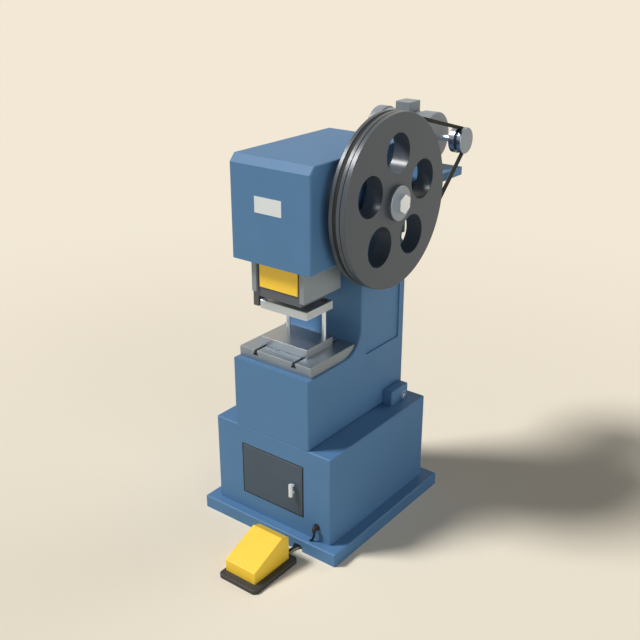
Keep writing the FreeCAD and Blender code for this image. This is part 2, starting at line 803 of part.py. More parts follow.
block = box(-yoke_half_x, yoke_half_x, slide_y - block_half_y, slide_y + block_half_y,
            pin_z - block_half_z, pin_z + block_half_z)
block = block.cut(rod_x(crank_pin_radius + running_clearance, -yoke_half_x, yoke_half_x, slide_y, pin_z))
save("slide_block", block)
web_x0 = yoke_half_x + side_gap
web_x1 = web_x0 + crank_web_width
crankshaft = rod_x(crank_pin_radius, -web_x0, web_x0, slide_y, pin_z)
crankshaft = crankshaft.fuse([
    rod_x(crank_web_radius, -web_x1, -web_x0, slide_y, crank_z),
    rod_x(crank_web_radius, web_x0, web_x1, slide_y, crank_z),
    rod_x(crank_journal_radius, -frame_half_x + side_gap, -web_x1, slide_y, crank_z),
    rod_x(crank_journal_radius, web_x1, blind_x - side_gap, slide_y, crank_z)])
save("crankshaft", crankshaft)
gear_x = web_x1 + gear_gap
clutch_x = gear_x + gear_width + side_gap
clutch = rod_x(clutch_radius, clutch_x, clutch_x + clutch_width, slide_y, crank_z)
clutch_bore = rod_x(crank_journal_radius, clutch_x, clutch_x + clutch_width, slide_y, crank_z)
save("clutch_ring", clutch.cut(clutch_bore))


# ---------------- gears ----------------
def involute_point(base_radius, radius, offset):
    # A point of the involute of base_radius at the given radius; offset is the angle where the flank starts.
    roll = math.sqrt(max((radius / base_radius) ** 2 - 1, 0.0))
    angle = offset + roll - math.atan(roll)
    return V(0, radius * math.sin(angle), radius * math.cos(angle))


def spur_gear(teeth, first_angle, x0, width, y, z, bore):
    pitch = gear_module * teeth / 2
    base_radius = pitch * math.cos(math.radians(pressure_angle))
    tip = pitch + gear_module * addendum_share
    root = pitch - gear_module * dedendum_share
    half_tooth = math.pi / (2 * teeth) - tooth_backlash / (2 * pitch)
    roll = math.tan(math.radians(pressure_angle)) - math.radians(pressure_angle)
    start = max(base_radius, root)
    edges = []
    for k in range(teeth):
        turn = FreeCAD.Rotation(V(1, 0, 0), math.degrees(-first_angle - 2 * math.pi * k / teeth))
        flank = [involute_point(base_radius, r, -half_tooth - roll) for r in (start, (start + tip) / 2, tip)]
        left = [turn.multVec(p) for p in flank]
        right = [turn.multVec(V(0, -p.y, p.z)) for p in reversed(flank)]
        next_turn = FreeCAD.Rotation(V(1, 0, 0), math.degrees(-first_angle - 2 * math.pi * (k + 1) / teeth))
        foot = involute_point(base_radius, start, -half_tooth - roll)
        next_left = next_turn.multVec(foot)
        shrink = root / start
        low_right = right[2] * shrink
        low_left = next_left * shrink
        edges.append(Part.Arc(*left).toShape())
        edges.append(Part.LineSegment(left[2], right[0]).toShape())
        edges.append(Part.Arc(*right).toShape())
        corners = [right[2], low_right, low_left, next_left]
        for a, b in zip(corners, corners[1:]):
            if (b - a).Length > 0.01:
                edges.append(Part.LineSegment(a, b).toShape())
    face = Part.Face(Part.Wire(edges))
    gear = face.extrude(V(width, 0, 0))
    gear.translate(V(x0, y, z))
    return gear.cut(rod_x(bore, x0, x0 + width, y, z))


# Measured from +Z towards +Y, the line of centres leaves the pinion at this angle.
mesh_angle = math.atan2(slide_y - wheel_y, crank_z - wheel_z)
pinion = spur_gear(pinion_teeth, mesh_angle, gear_x, gear_width, wheel_y, wheel_z, back_shaft_radius)
save("pinion", pinion)
gear_first = mesh_angle + math.pi + math.pi / gear_teeth
bull_gear = spur_gear(gear_teeth, gear_first, gear_x, gear_width, slide_y, crank_z,
                      crank_journal_radius + running_clearance)
windows = []
for k in range(gear_windows):
    angle = 2 * math.pi * k / gear_windows
    windows.append(rod_x(gear_window_radius, gear_x, gear_x + gear_width,
                         slide_y + gear_window_circle * math.sin(angle),
                         crank_z + gear_window_circle * math.cos(angle)))
save("bull_gear", bull_gear.cut(windows))

# ---------------- bearings and caps ----------------
spots = (("shaft_bearing_left", -frame_half_x, -boss_x, wheel_y, wheel_z, back_shaft_radius),
         ("shaft_bearing_right", boss_x, outer_x, wheel_y, wheel_z, back_shaft_radius),
         ("crank_bearing_left", -frame_half_x, -boss_x, slide_y, crank_z, crank_journal_radius),
         ("crank_bearing_right", boss_x, blind_x, slide_y, crank_z, crank_journal_radius))
for name, x0, x1, y, z, radius in spots:
    ring = rod_x(bore_radius, x0, x1, y, z)
    save(name, ring.cut(rod_x(radius + running_clearance, x0, x1, y, z)))
caps = []
for y, z in ((wheel_y, wheel_z), (slide_y, crank_z)):
    cap = rod_x(bore_radius + cap_overlap, -frame_half_x - cap_thickness, -frame_half_x, y, z)
    caps.append(cap.makeChamfer(shoe_bevel, [e for e in cap.Edges if e.Closed and
                                             e.Vertexes[0].Point.x < -frame_half_x - cap_thickness / 2]))
save("bearing_caps", Part.makeCompound(caps))

# ---------------- flywheel ----------------
wheel_rear = outer_x + hub_gap + hub_rear_length
wheel_front = wheel_rear + wheel_width
collar_front = wheel_front + collar_height
belt_x = wheel_rear + belt_setback
trim_x0 = wheel_rear + trim_groove_start
trim_x1 = trim_x0 + trim_groove_width
belt_seat = wheel_radius - belt_groove_depth
belt_slope = math.tan(math.radians(belt_flank))
belt_inner_half = belt_width / 2 - belt_thickness * belt_slope


def belt_groove(rim, seat):
    # The (x, radius) corners of a V-groove that clears the belt by belt_gap on its floor and flanks.
    floor_half = belt_inner_half + belt_gap
    rim_half = floor_half + (rim - seat) * belt_slope
    return [(belt_x - rim_half, rim), (belt_x - floor_half, seat), (belt_x + floor_half, seat),
            (belt_x + rim_half, rim)]


wheel_outline = [
    (wheel_rear - hub_rear_length, back_shaft_radius),
    (wheel_rear - hub_rear_length, hub_rear_radius),
    (wheel_rear, hub_rear_radius),
    (wheel_rear, wheel_radius - wheel_bevel),
    (wheel_rear + wheel_bevel, wheel_radius),
    *belt_groove(wheel_radius, belt_seat),
    (trim_x0, wheel_radius),
    (trim_x0, wheel_radius - trim_groove_depth),
    (trim_x1, wheel_radius - trim_groove_depth),
    (trim_x1, wheel_radius),
    (wheel_front - wheel_bevel, wheel_radius),
    (wheel_front, wheel_radius - wheel_bevel),
    (wheel_front, collar_radius),
    (collar_front, collar_radius - wheel_bevel),
    (collar_front, back_shaft_radius),
]
flywheel = turned_x(wheel_outline, wheel_y, wheel_z)
for k in range(wheel_holes):
    angle = 2 * math.pi * k / wheel_holes
    hole_y = wheel_y + wheel_hole_circle * math.sin(angle)
    hole_z = wheel_z + wheel_hole_circle * math.cos(angle)
    flywheel = flywheel.cut(rod_x(wheel_hole_radius, wheel_rear, wheel_front, hole_y, hole_z))
key_x0 = wheel_rear + wheel_bevel
key_x1 = wheel_front - wheel_bevel
key_z = wheel_z + back_shaft_radius
key = box(key_x0, key_x1, wheel_y - key_width / 2, wheel_y + key_width / 2,
          key_z - key_height / 2, key_z + key_height / 2)
save("flywheel_key", key)
save("flywheel", flywheel.cut(key))
back_shaft = rod_x(back_shaft_radius, -frame_half_x + side_gap, collar_front, wheel_y, wheel_z)
washer_front = collar_front + washer_height
bolt_shank = rod_x(hub_bolt_shank, collar_front - hub_bolt_depth, washer_front, wheel_y, wheel_z)
save("back_shaft", back_shaft.cut([key, bolt_shank]))
washer = rod_x(washer_radius, collar_front, washer_front, wheel_y, wheel_z)
washer = washer.makeChamfer(shoe_bevel, [e for e in washer.Edges if e.Closed and
                                         e.Vertexes[0].Point.x > washer_front - 1])
save("hub_washer", washer.cut(bolt_shank))
bolt_head = hexagon(hub_bolt_flat, V(washer_front, wheel_y, wheel_z), V(1, 0, 0), hub_bolt_height)
save("hub_bolt", bolt_head.fuse(bolt_shank))

# ---------------- rear cover and motor bracket ----------------
cover_rear = head_rear + rear_cover_thickness
cover_half_x = frame_half_x - rear_cover_margin
rear_cover = box(-cover_half_x, cover_half_x, head_rear, cover_rear,
                 head_bottom + rear_cover_margin, head_top - rear_cover_margin)
rear_cover = rear_cover.makeChamfer(shoe_bevel, edges_facing_y(rear_cover, cover_rear))
flange_rear = cover_rear + bracket_flange_thickness
motor_y = wheel_y + wheel_radius + motor_standoff
bracket_top = head_top - bracket_drop
bracket_bottom = bracket_top - bracket_thickness
bracket_flange_bottom = bracket_bottom - bracket_flange_drop
bracket_rear = motor_y + bracket_tail
bracket_neck = wheel_rear - bracket_neck_gap
bracket = box(bracket_left, bracket_right, cover_rear, bracket_rear, bracket_bottom, bracket_top)
wheel_clear_y = wheel_y + wheel_radius + bracket_neck_gap
bracket = bracket.cut([
    box(bracket_neck, bracket_right, cover_rear, wheel_clear_y, bracket_bottom, bracket_top),
    box(bracket_left + bracket_wall, bracket_neck - bracket_wall, flange_rear, bracket_rear - bracket_wall,
        bracket_bottom, bracket_top - bracket_wall)])
flange = box(-cover_half_x, cover_half_x, cover_rear, flange_rear, bracket_flange_bottom, bracket_bottom)
bracket = bracket.fuse(flange)
gusset_end = flange_rear + gusset_reach
for x in (-gusset_offset, gusset_offset):
    gusset = outline_x([(flange_rear, bracket_flange_bottom), (flange_rear, bracket_top - bracket_wall),
                        (gusset_end, bracket_top - bracket_wall), (gusset_end, bracket_bottom),
                        (flange_rear, bracket_flange_bottom)],
                       x - gusset_thickness / 2, x + gusset_thickness / 2)
    bracket = bracket.fuse(gusset)
wall_holes = []
for x in (-1, 1):
    spot_x = x * (rear_window_half_x + screw_inset)
    for z in (bracket_flange_bottom + screw_inset, bracket_bottom - screw_inset):
        wall_holes.append(cap_screw(V(spot_x, flange_rear, z), V(0, 1, 0), flange_rear - head_rear))
    cover_spot = V(spot_x, cover_rear, head_top - cover_screw_drop)
    wall_holes.append(cap_screw(cover_spot, V(0, 1, 0), rear_cover_thickness))
save("rear_cover", rear_cover.cut(wall_holes))

# ---------------- motor ----------------
motor_z = bracket_top + motor_height
body_left = motor_left + bell_left_length
body_right = motor_right - bell_right_length
motor_body = rod_x(body_radius, body_left, body_right, motor_y, motor_z)
motor_foot = box(body_left, body_right, motor_y - foot_half_y, motor_y + foot_half_y,
                 bracket_top, bracket_top + bracket_wall)
riser = box(body_left, body_right, motor_y - foot_half_y + foot_width, motor_y + foot_half_y - foot_width,
            bracket_top, motor_z)
motor_holes = []
for x in (body_left + foot_screw_inset, body_right - foot_screw_inset):
    for y in (-1, 1):
        spot = V(x, motor_y + y * (foot_half_y - foot_width / 2), bracket_top + bracket_wall)
        motor_holes.append(cap_screw(spot, V(0, 0, 1), bracket_wall))
save("motor_housing", motor_body.fuse([motor_foot, riser]).cut(motor_holes))
save("motor_bracket", bracket.cut(wall_holes + motor_holes))
shaft_start = motor_right - shaft_inside
bells = []
for x0, x1 in ((motor_left, body_left), (body_right, motor_right)):
    bell = rod_x(bell_radius, x0, x1, motor_y, motor_z)
    bell = bell.makeFillet(bell_bevel, [e for e in bell.Edges if e.Closed])
    bore = rod_x(shaft_radius + running_clearance, shaft_start - bell_bevel, motor_right, motor_y, motor_z)
    bells.append(bell.cut(bore))
save("motor_bells", Part.makeCompound(bells))
terminal_bottom = motor_z + body_radius - terminal_sink
terminal_top = motor_z + terminal_rise
terminal = box(terminal_x - terminal_width / 2, terminal_x + terminal_width / 2,
               motor_y - terminal_depth / 2, motor_y + terminal_depth / 2, terminal_bottom, terminal_top)
terminal = terminal.makeChamfer(shoe_bevel, level_edges(terminal, terminal_top) + upright_edges(terminal))
save("terminal_box", terminal.cut(motor_body))
pulley_left = belt_x - pulley_back
pulley_right = belt_x + pulley_front
shaft_end = pulley_right - belt_gap
motor_shaft = rod_x(shaft_radius, shaft_start, shaft_end, motor_y, motor_z)
save("motor_shaft", motor_shaft)
pulley_seat = pulley_radius - pulley_groove_depth
pulley = turned_x([(pulley_left, 0), (pulley_left, pulley_radius - shoe_bevel),
                   (pulley_left + shoe_bevel, pulley_radius), *belt_groove(pulley_radius, pulley_seat),
                   (pulley_right - shoe_bevel, pulley_radius), (pulley_right, pulley_radius - shoe_bevel),
                   (pulley_right, 0)], motor_y, motor_z)
save("motor_pulley", pulley.cut(motor_shaft))

save("c_frame", c_frame.cut(wall_holes + gib_shanks))
save("cap_screws", Part.makeCompound(cap_screws))
plate_left = plate_x - plate_width / 2
plate_bottom = head_bottom + plate_rise
plate = box(plate_left, plate_left + plate_width, head_front - plate_thickness, head_front,
            plate_bottom, plate_bottom + plate_height)
save("nameplate", plate)


# ---------------- belt ----------------
def belt_section(y, z, radius, angle):
    # The belt's wedge section at an angle from +Y towards +Z, its narrow side at the radius from (y, z).
    out = V(0, math.cos(angle), math.sin(angle))
    low = V(belt_x, y, z) + out * radius
    high = low + out * belt_thickness
    inner_half = V(belt_inner_half, 0, 0)
    outer_half = V(belt_width / 2, 0, 0)
    corners = [low - inner_half, low + inner_half, high + outer_half, high - outer_half, low - inner_half]
    return low, Part.Face(Part.makePolygon(corners))


big = belt_seat + belt_gap
small = pulley_seat + belt_gap
span = math.hypot(motor_y - wheel_y, motor_z - wheel_z)
lean = math.atan2(motor_z - wheel_z, motor_y - wheel_y)
wrap = math.acos((big - small) / span)
wheel_up, wheel_section = belt_section(wheel_y, wheel_z, big, lean + wrap)
motor_up, upper_section = belt_section(motor_y, motor_z, small, lean + wrap)
wheel_low, lower_section = belt_section(wheel_y, wheel_z, big, lean - wrap)
motor_low, motor_section = belt_section(motor_y, motor_z, small, lean - wrap)
x_axis = V(1, 0, 0)
belt = wheel_section.revolve(V(0, wheel_y, wheel_z), x_axis, 360 - 2 * math.degrees(wrap))
belt = belt.fuse([motor_section.revolve(V(0, motor_y, motor_z), x_axis, 2 * math.degrees(wrap)),
                  upper_section.extrude(wheel_up - motor_up),
                  lower_section.extrude(motor_low - wheel_low)])
save("drive_belt", belt)

# ---------------- foot pedal ----------------
gland_x, gland_y, gland_z = cable_route[-1]
tray_rear = gland_y - gland_length
tray_front = tray_rear - tray_depth
tray_right = tray_left + tray_width
treadle_left = tray_left + treadle_left_inset
treadle_right = tray_right - treadle_right_inset
treadle_front = tray_front + treadle_front_inset
treadle_rear = tray_rear - treadle_rear_inset
treadle_ridge_y = treadle_rear - treadle_ridge_inset
pedal_pin_y = treadle_front + pedal_pin_inset
pedal_pin_z = tray_floor + pedal_pin_rise
spring_y = treadle_front + spring_inset
switch_y = treadle_rear - pedal_switch_inset
tray = box(tray_left, tray_right, tray_front, tray_rear, 0, tray_height)
tray = tray.makeFillet(tray_corner, upright_edges(tray))
tray = tray.makeFillet(tray_bevel, level_edges(tray, tray_height))
well = box(treadle_left - treadle_gap, treadle_right + treadle_gap, treadle_front - treadle_gap,
           treadle_rear + treadle_gap, tray_floor, tray_height)
tray = tray.cut(well)
pin_ears = []
for x in (treadle_left + treadle_wall + treadle_gap, treadle_right - treadle_wall - treadle_gap - ear_width):
    pin_ears.append(box(x, x + ear_width, pedal_pin_y - ear_half_depth, pedal_pin_y + ear_half_depth,
                        tray_floor, pedal_pin_z + ear_above_pin))
tray = tray.fuse(pin_ears)
pin_bore = rod_x(pedal_pin_radius + running_clearance, treadle_left, treadle_right, pedal_pin_y, pedal_pin_z)
tray = tray.cut(pin_bore)
gland = rod_y(gland_radius, tray_rear - gland_length, gland_y, gland_x, gland_z)
save("pedal_base", tray.cut(gland))
save("pedal_gland", gland)

skirt_z = tray_floor + treadle_lift


def wedge(inset, z0):
    slope = math.atan2(treadle_ridge_z - treadle_front_top, treadle_ridge_y - treadle_front)
    drop = inset / math.cos(slope)
    return [(treadle_front + inset, z0),
            (treadle_front + inset, treadle_front_top - drop + inset * math.tan(slope)),
            (treadle_ridge_y, treadle_ridge_z - drop),
            (treadle_rear - inset, treadle_rear_top - drop),
            (treadle_rear - inset, z0),
            (treadle_front + inset, z0)]


treadle = outline_x(wedge(0, skirt_z), treadle_left, treadle_right)
above_skirt = [e for e in treadle.Edges if max(v.Point.z for v in e.Vertexes) > skirt_z + 1]
treadle = treadle.makeFillet(treadle_wall, above_skirt)
hollow = outline_x(wedge(treadle_wall, skirt_z), treadle_left + treadle_wall, treadle_right - treadle_wall)
rib_low = tray_floor + switch_height + (treadle_lift - pedal_rest_gap) * (switch_y - pedal_pin_y) / (
    treadle_rear - pedal_pin_y) + frame_gap
middle_x = (treadle_left + treadle_right) / 2
rib = box(middle_x - switch_block / 2, middle_x + switch_block / 2, switch_y - rib_thickness / 2,
          switch_y + rib_thickness / 2, rib_low, treadle_ridge_z)
spring_seat = rod_z(spring_radius + spring_seat_margin, spring_top + frame_gap, treadle_ridge_z,
                    middle_x, spring_y)
treadle = treadle.cut(hollow.cut([rib, spring_seat]))
pedal_pin = rod_x(pedal_pin_radius, treadle_left + treadle_wall / 2, treadle_right - treadle_wall / 2,
                  pedal_pin_y, pedal_pin_z)
save("pedal_treadle", treadle.cut(pedal_pin))
save("pedal_pin", pedal_pin)
switch_body = box(middle_x - switch_block / 2, middle_x + switch_block / 2, switch_y - switch_block / 2,
                  switch_y + switch_block / 2, tray_floor, tray_floor + switch_height)
save("pedal_switch", switch_body)
coil_radius = spring_radius - spring_wire / 2
pitch = (spring_top - tray_floor - spring_wire) / spring_turns


def coil_point(quarter):
    angle = quarter * math.pi / 2
    return V(coil_radius * math.cos(angle), coil_radius * math.sin(angle), pitch * quarter / 4)


coil = Part.Wire([Part.Arc(coil_point(k), coil_point(k + 0.5), coil_point(k + 1)).toShape()
                  for k in range(4 * spring_turns)])
heading = coil.Edges[0].tangentAt(coil.Edges[0].FirstParameter)
wire_end = Part.Wire([Part.makeCircle(spring_wire / 2, coil_point(0), heading)])
spring = coil.makePipeShell([wire_end], True)
spring.translate(V(middle_x, spring_y, tray_floor + spring_wire / 2))
save("pedal_spring", spring)

# ---------------- pedal cable ----------------
elbow = rod_y(elbow_radius, elbow_y, room_front, elbow_x, elbow_mid_z)
elbow = elbow.fuse([Part.makeSphere(elbow_radius, V(elbow_x, elbow_y, elbow_mid_z)),
                    rod_z(elbow_radius, elbow_z, elbow_mid_z, elbow_x, elbow_y),
                    rod_y(elbow_flange_radius, pedestal_front - elbow_flange_thickness, pedestal_front,
                          elbow_x, elbow_mid_z)])
save("cable_elbow", elbow)


def rounded_path(points):
    # Straight runs joined by tangent arcs of radius 0.45 of the shorter run over the half turn's tangent.
    stops = [V(*p) for p in points]
    edges = []
    here = stops[0]
    for before, corner, after in zip(stops, stops[1:], stops[2:]):
        run_in = corner - before
        run_out = after - corner
        turn = run_in.getAngle(run_out)
        reach = 0.45 * min(run_in.Length, run_out.Length)
        radius = reach / math.tan(turn / 2)
        unit_in = run_in.normalize()
        unit_out = run_out.normalize()
        start = corner - unit_in * reach
        end = corner + unit_out * reach
        away = (unit_out - unit_in).normalize()
        mid = corner + away * (radius / math.cos(turn / 2) - radius)
        edges.append(Part.LineSegment(here, start).toShape())
        edges.append(Part.Arc(start, mid, end).toShape())
        here = end
        print("cable bend radius", round(radius, 1), "turn", round(math.degrees(turn), 1))
    edges.append(Part.LineSegment(here, stops[-1]).toShape())
    return Part.Wire(edges)


path = rounded_path(cable_route)
heading = V(*cable_route[1]) - V(*cable_route[0])
section = Part.Wire([Part.makeCircle(cable_radius, V(*cable_route[0]), heading)])
cable = path.makePipeShell([section], True, True)
save("pedal_cable", cable)
section_area = math.pi * cable_radius ** 2
print("cable length", round(path.Length, 1), "volume over section times length",
      round(cable.Volume / (section_area * path.Length), 4))
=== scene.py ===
import bpy
import math
import numpy as np
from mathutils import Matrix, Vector


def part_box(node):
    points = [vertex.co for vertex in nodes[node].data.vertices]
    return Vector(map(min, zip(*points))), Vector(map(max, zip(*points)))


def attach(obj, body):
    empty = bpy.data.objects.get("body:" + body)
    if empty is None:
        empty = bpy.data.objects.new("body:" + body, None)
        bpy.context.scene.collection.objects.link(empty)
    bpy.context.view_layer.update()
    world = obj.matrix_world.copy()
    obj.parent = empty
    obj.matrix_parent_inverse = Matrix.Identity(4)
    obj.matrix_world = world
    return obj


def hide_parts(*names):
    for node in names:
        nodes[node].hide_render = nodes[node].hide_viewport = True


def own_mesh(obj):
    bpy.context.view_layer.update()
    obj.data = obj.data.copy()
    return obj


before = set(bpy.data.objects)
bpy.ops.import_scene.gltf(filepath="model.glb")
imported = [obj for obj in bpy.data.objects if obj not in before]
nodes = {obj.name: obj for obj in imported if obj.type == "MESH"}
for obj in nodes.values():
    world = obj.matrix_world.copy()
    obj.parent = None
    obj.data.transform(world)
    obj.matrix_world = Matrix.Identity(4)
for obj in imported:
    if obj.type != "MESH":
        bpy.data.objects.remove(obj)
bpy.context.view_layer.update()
print("loaded", len(nodes), "nodes")


def addObject(name, data):
    piece = bpy.data.objects.new(name, data)
    bpy.context.scene.collection.objects.link(piece)
    return piece


class Sock:  # a shader socket that takes part in plain expressions
    def __init__(self, web, socket):
        self.web = web
        self.socket = socket

    def maths(self, operation, *values):
        return self.web.node("ShaderNodeMath", {"operation": operation}, list(values))

    def __add__(self, other):
        return self.maths("ADD", self, other)

    def __radd__(self, other):
        return self.maths("ADD", other, self)

    def __sub__(self, other):
        return self.maths("SUBTRACT", self, other)

    def __rsub__(self, other):
        return self.maths("SUBTRACT", other, self)

    def __mul__(self, other):
        return self.maths("MULTIPLY", self, other)

    def __rmul__(self, other):
        return self.maths("MULTIPLY", other, self)

    def __pow__(self, other):
        return self.maths("POWER", self, other)

    def larger(self, other):
        return self.maths("MAXIMUM", self, other)

    def between(self, low, high):  # 0 at low, 1 at high, smooth and held outside
        return self.web.node("ShaderNodeMapRange", {"interpolation_type": "SMOOTHSTEP", "clamp": True},
                             {"Value": self, "From Min": low, "From Max": high})


class Web:  # a node tree; node() makes every node in it
    def __init__(self, tree):
        self.tree = tree

    def node(self, kind, settings, inputs, output=0):
        made = self.tree.nodes.new(kind)
        for key, value in settings.items():
            setattr(made, key, value)
        for key, value in inputs.items() if isinstance(inputs, dict) else enumerate(inputs):
            if isinstance(value, Sock):
                self.tree.links.new(value.socket, made.inputs[key])
            else:
                made.inputs[key].default_value = value
        if isinstance(output, list):
            return [Sock(self, made.outputs[name]) for name in output]
        return Sock(self, made.outputs[output])

    def send(self, value, socket):
        self.tree.links.new(value.socket, socket)


class Shade(Web):  # one material round a Principled shader
    plain = {"Roughness": 0.5, "Metallic": 0.0, "Specular IOR Level": 0.5}
    toneBand = (0.35, 0.65)  # the part of a noise over which the dark tone turns into the light one
    edgeSamples = 4

    def __init__(self, name, look):
        self.material = bpy.data.materials.new(name)
        self.material.use_nodes = True
        super().__init__(self.material.node_tree)
        self.surface = self.tree.nodes["Principled BSDF"]
        self.place = self.node("ShaderNodeTexCoord", {}, {}, "Object")
        self.look = look
        self.surface.inputs["Base Color"].default_value = (*look["colour"], 1)
        for key, value in self.plain.items():
            self.surface.inputs[key].default_value = look.get(key, value)

    def noise(self, scale, detail, roughness, place=None):
        return self.node("ShaderNodeTexNoise", {"noise_dimensions": "3D"},
                         {"Vector": place or self.place, "Scale": scale, "Detail": detail,
                          "Roughness": roughness})

    def blend(self, first, second, share):  # share of the first, and the second for the rest
        return first * share + second * (1 - share)

    def stretched(self, scales):  # object coordinates drawn out along an axis
        return self.node("ShaderNodeVectorMath", {"operation": "MULTIPLY"}, [self.place, scales])

    def split(self):
        return self.node("ShaderNodeSeparateXYZ", {}, [self.place], ["X", "Y", "Z"])

    def mix(self, share, first, second):  # two colours, which are inputs 6 and 7 of the node, and output 2
        return self.node("ShaderNodeMix", {"data_type": "RGBA", "clamp_factor": True},
                         {0: share, 6: (*first, 1), 7: (*second, 1)}, 2)

    def feed(self, name, value):
        self.send(value, self.surface.inputs[name])

    def tint(self, share):  # the base colour drifts a little darker and lighter with share
        drift = self.look["drift"]
        dark = tuple(c * (1 - drift) for c in self.look["colour"])
        light = tuple(min(1.0, c * (1 + drift)) for c in self.look["colour"])
        self.feed("Base Color", self.mix(share.between(*self.toneBand), dark, light))

    def polish(self, share):  # roughness wanders either side of its value
        patchy = self.look["patchy"]
        self.feed("Roughness", share * patchy + (self.look["Roughness"] - patchy / 2))

    def relief(self, height):  # fine bump on top of edges eased by the finish's own radius
        eased = self.node("ShaderNodeBevel", {"samples": self.edgeSamples}, {"Radius": self.look["edge"]},
                          "Normal")
        self.feed("Normal", self.node("ShaderNodeBump", {}, {"Height": height, "Distance": self.look["depth"],
                                                             "Normal": eased}, "Normal"))


# Below, a noise is (scale, detail, roughness), or (detail, roughness) where the finish gives the scale.
paintGrain = {
    "drift": (2.2, 4.0, 0.55),
    "cloud": (9.0, 5.0, 0.6),
    "driftShare": 0.6,
    "peel": (2.0, 0.4),
    "grit": (1.0, 0.5),
    "gritFineness": 3.1,
    "gritShare": 0.35,
}


def machinePaint(name, look):  # sprayed enamel: slow tone drift, orange peel a few millimetres wide
    shade = Shade(name, look)
    drift = shade.noise(*paintGrain["drift"])
    cloud = shade.noise(*paintGrain["cloud"])
    shade.tint(shade.blend(drift, cloud, paintGrain["driftShare"]))
    shade.polish(cloud)
    peel = shade.noise(look["peel"], *paintGrain["peel"])
    grit = shade.noise(look["peel"] * paintGrain["gritFineness"], *paintGrain["grit"])
    shade.relief(peel + grit * paintGrain["gritShare"])
    return shade.material


castGrain = {
    "skin": (5.0, 0.6),
    "slow": (3.0, 3.0, 0.5),
    "skinShare": 0.5,
    "faceFrom": 0.0010,  # the wheel's satin starts this far behind its face and is full at faceFull
    "faceFull": 0.0002,
}


def sandCast(name, look):  # painted casting: a coarser skin under the paint
    shade = Shade(name, look)
    skin = shade.noise(look["skin"], *castGrain["skin"])
    slow = shade.noise(*castGrain["slow"])
    shade.tint(shade.blend(skin, slow, castGrain["skinShare"]))
    shade.polish(skin)
    shade.relief(skin)
    return shade.material


def wheelCast(name, look):  # the wheel's enamel: satin on both faces, smoother on the rim and in the holes
    shade = Shade(name, look)
    skin = shade.noise(look["skin"], *castGrain["skin"])
    slow = shade.noise(*castGrain["slow"])
    x = shade.split()[0]
    start, full = castGrain["faceFrom"], castGrain["faceFull"]
    faces = (x.between(look["front"] - start, look["front"] - full)
             + x.between(look["rear"] + start, look["rear"] + full))
    wander = skin * look["patchy"] - look["patchy"] / 2
    shade.tint(shade.blend(skin, slow, castGrain["skinShare"]))
    shade.feed("Roughness", faces * (look["Roughness"] - look["sides"]) + wander + look["sides"])
    shade.relief(skin * faces)
    return shade.material


steelGrain = {
    "marks": (1.0, 3.0, 0.6),
    "cloud": (14.0, 4.0, 0.55),
    "marksShare": 0.5,
    "cloudPolish": 0.6,
    "dressedFrom": 0.0030,  # depths below the top: the dressed band begins, is full, and starts to fade
    "dressedFull": 0.0018,
    "dressedTo": 0.0003,
}


def groundSteel(name, look):  # ground or milled steel: fine straight marks and a faint oily cloud
    shade = Shade(name, look)
    marks = shade.noise(*steelGrain["marks"], shade.stretched(look["marks"]))
    cloud = shade.noise(*steelGrain["cloud"])
    shade.tint(shade.blend(marks, cloud, steelGrain["marksShare"]))
    wander = (shade.blend(cloud, marks, steelGrain["cloudPolish"]) * look["patchy"]
              + (look["Roughness"] - look["patchy"] / 2))
    if "top" in look:  # the broken edge just below this height is dressed by hand, so duller than the face
        z, top = shade.split()[2], look["top"]
        dressed = (z.between(top - steelGrain["dressedFrom"], top - steelGrain["dressedFull"])
                   - z.between(top - steelGrain["dressedTo"], top))
        wander = wander + dressed * look["dull"]
        shade.feed("Metallic", look["Metallic"] - dressed * look["Metallic"])
    shade.feed("Roughness", wander)
    shade.relief(marks)
    return shade.material


turnedGrain = {
    "rings": (1.0, 3.0, 0.7),
    "cloud": (12.0, 4.0, 0.55),
    "ringShare": 0.4,
}


def turnedMetal(name, look):  # turned metal: rings about an X axis through look["centre"], given as (y, z)
    shade = Shade(name, look)
    x, y, z = shade.split()
    dy = y - look["centre"][0]
    dz = z - look["centre"][1]
    radius = (dy * dy + dz * dz) ** 0.5
    scale, detail, roughness = turnedGrain["rings"]
    rings = shade.node("ShaderNodeTexNoise", {"noise_dimensions": "1D"},
                       {"W": (radius + x) * look["rings"], "Scale": scale, "Detail": detail,
                        "Roughness": roughness})
    cloud = shade.noise(*turnedGrain["cloud"])
    shade.tint(shade.blend(rings, cloud, turnedGrain["ringShare"]))
    shade.polish(cloud)
    shade.relief(rings)
    return shade.material


mouldedGrain = {
    "slow": (8.0, 3.0, 0.5),
    "grain": (2.0, 0.5),
}


def mouldedSkin(name, look):  # moulded rubber or plastic: a fine even grain
    shade = Shade(name, look)
    slow = shade.noise(*mouldedGrain["slow"])
    shade.tint(slow)
    shade.polish(slow)
    shade.relief(shade.noise(look["grain"], *mouldedGrain["grain"]))
    return shade.material


wheelAxis = (0.058, 1.3788)  # (y, z) of the two turned pieces' axes
motorAxis = (0.6058, 1.5179)

